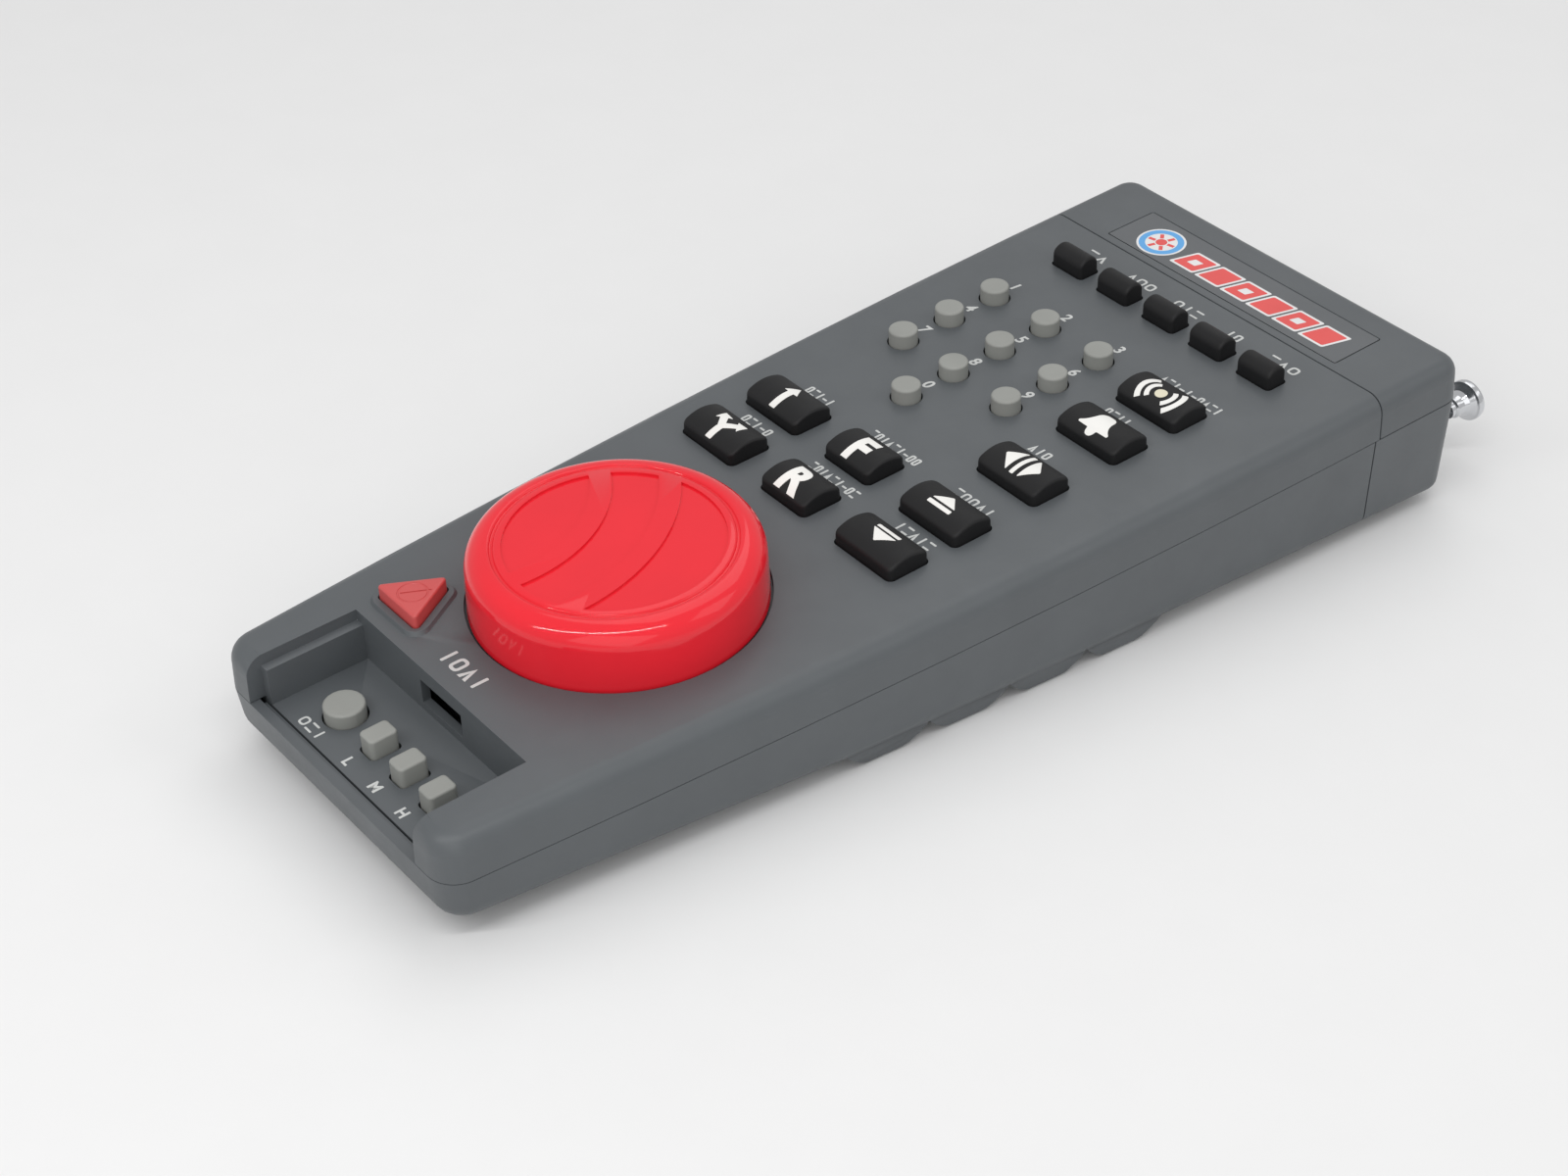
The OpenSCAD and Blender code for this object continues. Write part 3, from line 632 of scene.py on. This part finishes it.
def marks(name, x0, x1, y, high, kinds, z=0.0):
    """A row of small plain marks where a printed word would be; x0, x1, y and high in millimetres."""
    step = (x1 - x0) / len(kinds)
    line = 0.19 * high
    low, top = y - high / 2, y + high / 2
    shapes = []
    for i, kind in enumerate(kinds):
        a, b = x0 + step * (i + 0.1), x0 + step * (i + 0.9)
        mid = (a + b) / 2
        if kind == "|":
            shapes.append(bar(mid - line / 2, low, mid + line / 2, top))
        elif kind == "-":
            shapes.append(bar(a, y - line / 2, b, y + line / 2))
        elif kind == "^":
            shapes.append([(a, low), (mid, top), (b, low), (b - line * 1.3, low), (mid, top - line * 2.2),
                           (a + line * 1.3, low)])
        elif kind == "o":
            shapes.append([soften([(a + t, low + t), (b - t, low + t), (b - t, top - t), (a + t, top - t)],
                                  0.45 * (b - a) - t) for t in (0, line)])
        elif kind == "=":
            shapes += [bar(a, low, b, low + line), bar(a, top - line, b, top)]
    ink(name, flat_shape(shapes), "legend", "top_shell", at=(0, 0, z))


# Name, left, right, middle in y, height and marks of each legend, in millimetres from the knob's axis
LEGENDS = [
    ("aux_1", -26.8, -19.7, 62.2, 2.25, "o=|-|"), ("aux_2", -27.4, -19.6, 47.8, 2.25, "o=|-o"),
    ("coupler_far", -8.5, 4.7, 62.2, 2.25, "=o|^=|-oo"), ("coupler_near", -8.0, 5.0, 47.8, 2.25, "=o|^=|-o="),
    ("brake", 15.5, 25.0, 48.0, 2.25, "|=^|="), ("boost", 14.5, 24.6, 62.0, 2.25, "=oo^|"),
    ("direction", 13.4, 18.5, 80.9, 2.25, "^|o"), ("bell", 13.7, 20.0, 98.7, 2.25, "o=||"),
    ("whistle", 12.9, 28.3, 113.5, 2.25, "^=|-|-o^=|"),
    ("mode_1", -28.05, -22.4, 133.2, 2.4, "=^"), ("mode_2", -16.6, -9.1, 133.2, 2.4, "^oo"),
    ("mode_3", -3.9, 3.4, 133.2, 2.4, "o|="), ("mode_4", 10.0, 13.9, 133.2, 2.4, "|o"),
    ("mode_5", 20.8, 28.6, 133.2, 2.4, "=^o"), ("halt", -6.15, 5.9, -31.05, 3.4, "|o^|"),
]
for legend in LEGENDS:
    marks("legend_" + legend[0], *legend[1:])

marks("legend_set", -17.5, -10.6, -52.9, 2.1, "o=|", floor_z)
for letter, x in (("L", -3.0), ("M", 5.15), ("H", 13.2)):
    ink("legend_rate_" + letter.lower(), glyph(letter, 2.9, 0.09), "legend", "top_shell",
        at=(x * MM, -52.75 * MM, floor_z))

# ---------------------------------------------------------------- name plate


def shrunk(points, along, across):
    """An outline drawn in towards its middle, by one factor in x and one in y."""
    middle_x, middle_y = [sum(values) / len(points) for values in zip(*points)]
    return [(middle_x + (x - middle_x) * along, middle_y + (y - middle_y) * across) for x, y in points]


def name_emblem():
    """A plain wheel and a row of slanted blocks, printed in two layers on the plate's film."""
    face = local_box("name_plate")[1].z
    under, over = 0.012 * MM, 0.03 * MM

    def layer(name, shapes, mat, lift):
        ink(name, flat_shape(shapes), mat, "name_plate", at=(0, 0, face), lift=lift, thick=0.01 * MM)

    wheel = Vector((-21.0, 146.4))
    wheel_r, rim_width, border = 4.9, 1.25, 0.45
    layer("plate_wheel_back", [circle(wheel.x, wheel.y, wheel_r, 48)], "plate_white", under)
    rim = [circle(wheel.x, wheel.y, r, 48) for r in (wheel_r - border, wheel_r - border - rim_width)]
    layer("plate_wheel_rim", [rim], "plate_blue", over)
    spokes = [circle(wheel.x, wheel.y, 1.15)]
    for k in range(6):
        a = radians(60 * k + 12)
        along, across = Vector((cos(a), sin(a))), Vector((-sin(a), cos(a))) * 0.38
        spokes.append([tuple(wheel + along * r + across * side)
                       for r, side in ((1.4, -1), (2.9, -1), (2.9, 1), (1.4, 1))])
    layer("plate_wheel_spokes", spokes, "plate_red", over)

    # Blocks from start to end, each leaning to the right and every other one with a slot
    start, end, low_y, high_y, lean, gap, count = -15.4, 27.4, 142.9, 149.2, 1.9, 0.55, 6
    pitch = (end - start - lean) / count
    wide = pitch - gap
    for k in range(count):
        x = start + pitch * k
        outer = [(x, low_y), (x + wide, low_y), (x + wide + lean, high_y), (x + lean, high_y)]
        inner, slot = soften(shrunk(outer, 0.83, 0.83), 0.4), soften(shrunk(outer, 0.34, 0.3), 0.2)
        layer(f"plate_stripe_back_{k}", [soften(outer, 0.5)], "plate_white", under)
        layer(f"plate_stripe_{k}", [inner] if k % 2 else [[inner, slot]], "plate_red", over)


name_emblem()

# ---------------------------------------------------------------- floor, light, camera


def floor():
    """A pale sheet of studio paper."""
    bm = bmesh.new()
    bmesh.ops.create_grid(bm, x_segments=2, y_segments=2, size=3.0)
    mesh = bpy.data.meshes.new("studio_floor")
    bm.to_mesh(mesh)
    bm.free()
    mesh.materials.append(finish("studio_paper", (0.8, 0.8, 0.8), 0.75, 0.006, 0.04, grain=300, bump=0.03))
    sheet = bpy.data.objects.new("studio_floor", mesh)
    bpy.context.scene.collection.objects.link(sheet)


def area(name, place, aim, size, power, along=(1, 0, 0)):
    """A rectangular lamp whose long side runs along a direction."""
    data = bpy.data.lights.new(name, "AREA")
    data.shape = "RECTANGLE"
    data.size, data.size_y = size
    data.energy = power
    lamp = bpy.data.objects.new(name, data)
    lamp.location = place
    back = (Vector(place) - Vector(aim)).normalized()
    side = (Vector(along) - back * back.dot(Vector(along))).normalized()
    lamp.rotation_euler = Matrix((side, back.cross(side), back)).transposed().to_euler()
    bpy.context.scene.collection.objects.link(lamp)


def camera():
    """Looks from the photo's viewpoint, which was found by matching the object's outlines."""
    data = bpy.data.cameras.new("camera")
    data.lens = 68.27
    data.sensor_width = 36
    data.clip_start = 0.01
    eye = bpy.data.objects.new("camera", data)
    aim = Vector((0.0055, -0.02769, 0.015))
    azimuth, elevation, roll, reach = radians(-51.24), radians(36.44), radians(0.65), 0.5177
    ahead = Vector((sin(azimuth) * cos(elevation), cos(azimuth) * cos(elevation), -sin(elevation)))
    eye.location = aim - ahead * reach
    level = ahead.to_track_quat("-Z", "Y").to_matrix()
    eye.rotation_euler = (level @ Matrix.Rotation(roll, 3, "Z")).to_euler()
    bpy.context.scene.collection.objects.link(eye)
    bpy.context.scene.camera = eye


def daylight(strength):
    """An even white surrounding light."""
    world = bpy.data.worlds.new("studio")
    world.use_nodes = True
    world.node_tree.nodes["Background"].inputs["Color"].default_value = (1, 1, 1, 1)
    world.node_tree.nodes["Background"].inputs["Strength"].default_value = strength
    bpy.context.scene.world = world


floor()
daylight(0.6)
area("key", (-0.35, 0.5, 1.1), (0, 0, 0), (0.9, 0.9), 2.4)
area("fill", (0.75, -0.7, 0.5), (0, 0, 0), (1.0, 0.8), 2.2)
# The strip makes the long highlight round the near edge of the knob
area("strip", (0.137, -0.38, 0.61), (0, -0.058, 0.03), (1.0, 0.009), 2.1, (0.574, 0.751, 0.328))
area("edge", (0.6, 0.5, 0.65), (0, 0, 0), (0.5, 0.5), 0.7)
camera()
bpy.context.scene.view_settings.view_transform = "Standard"
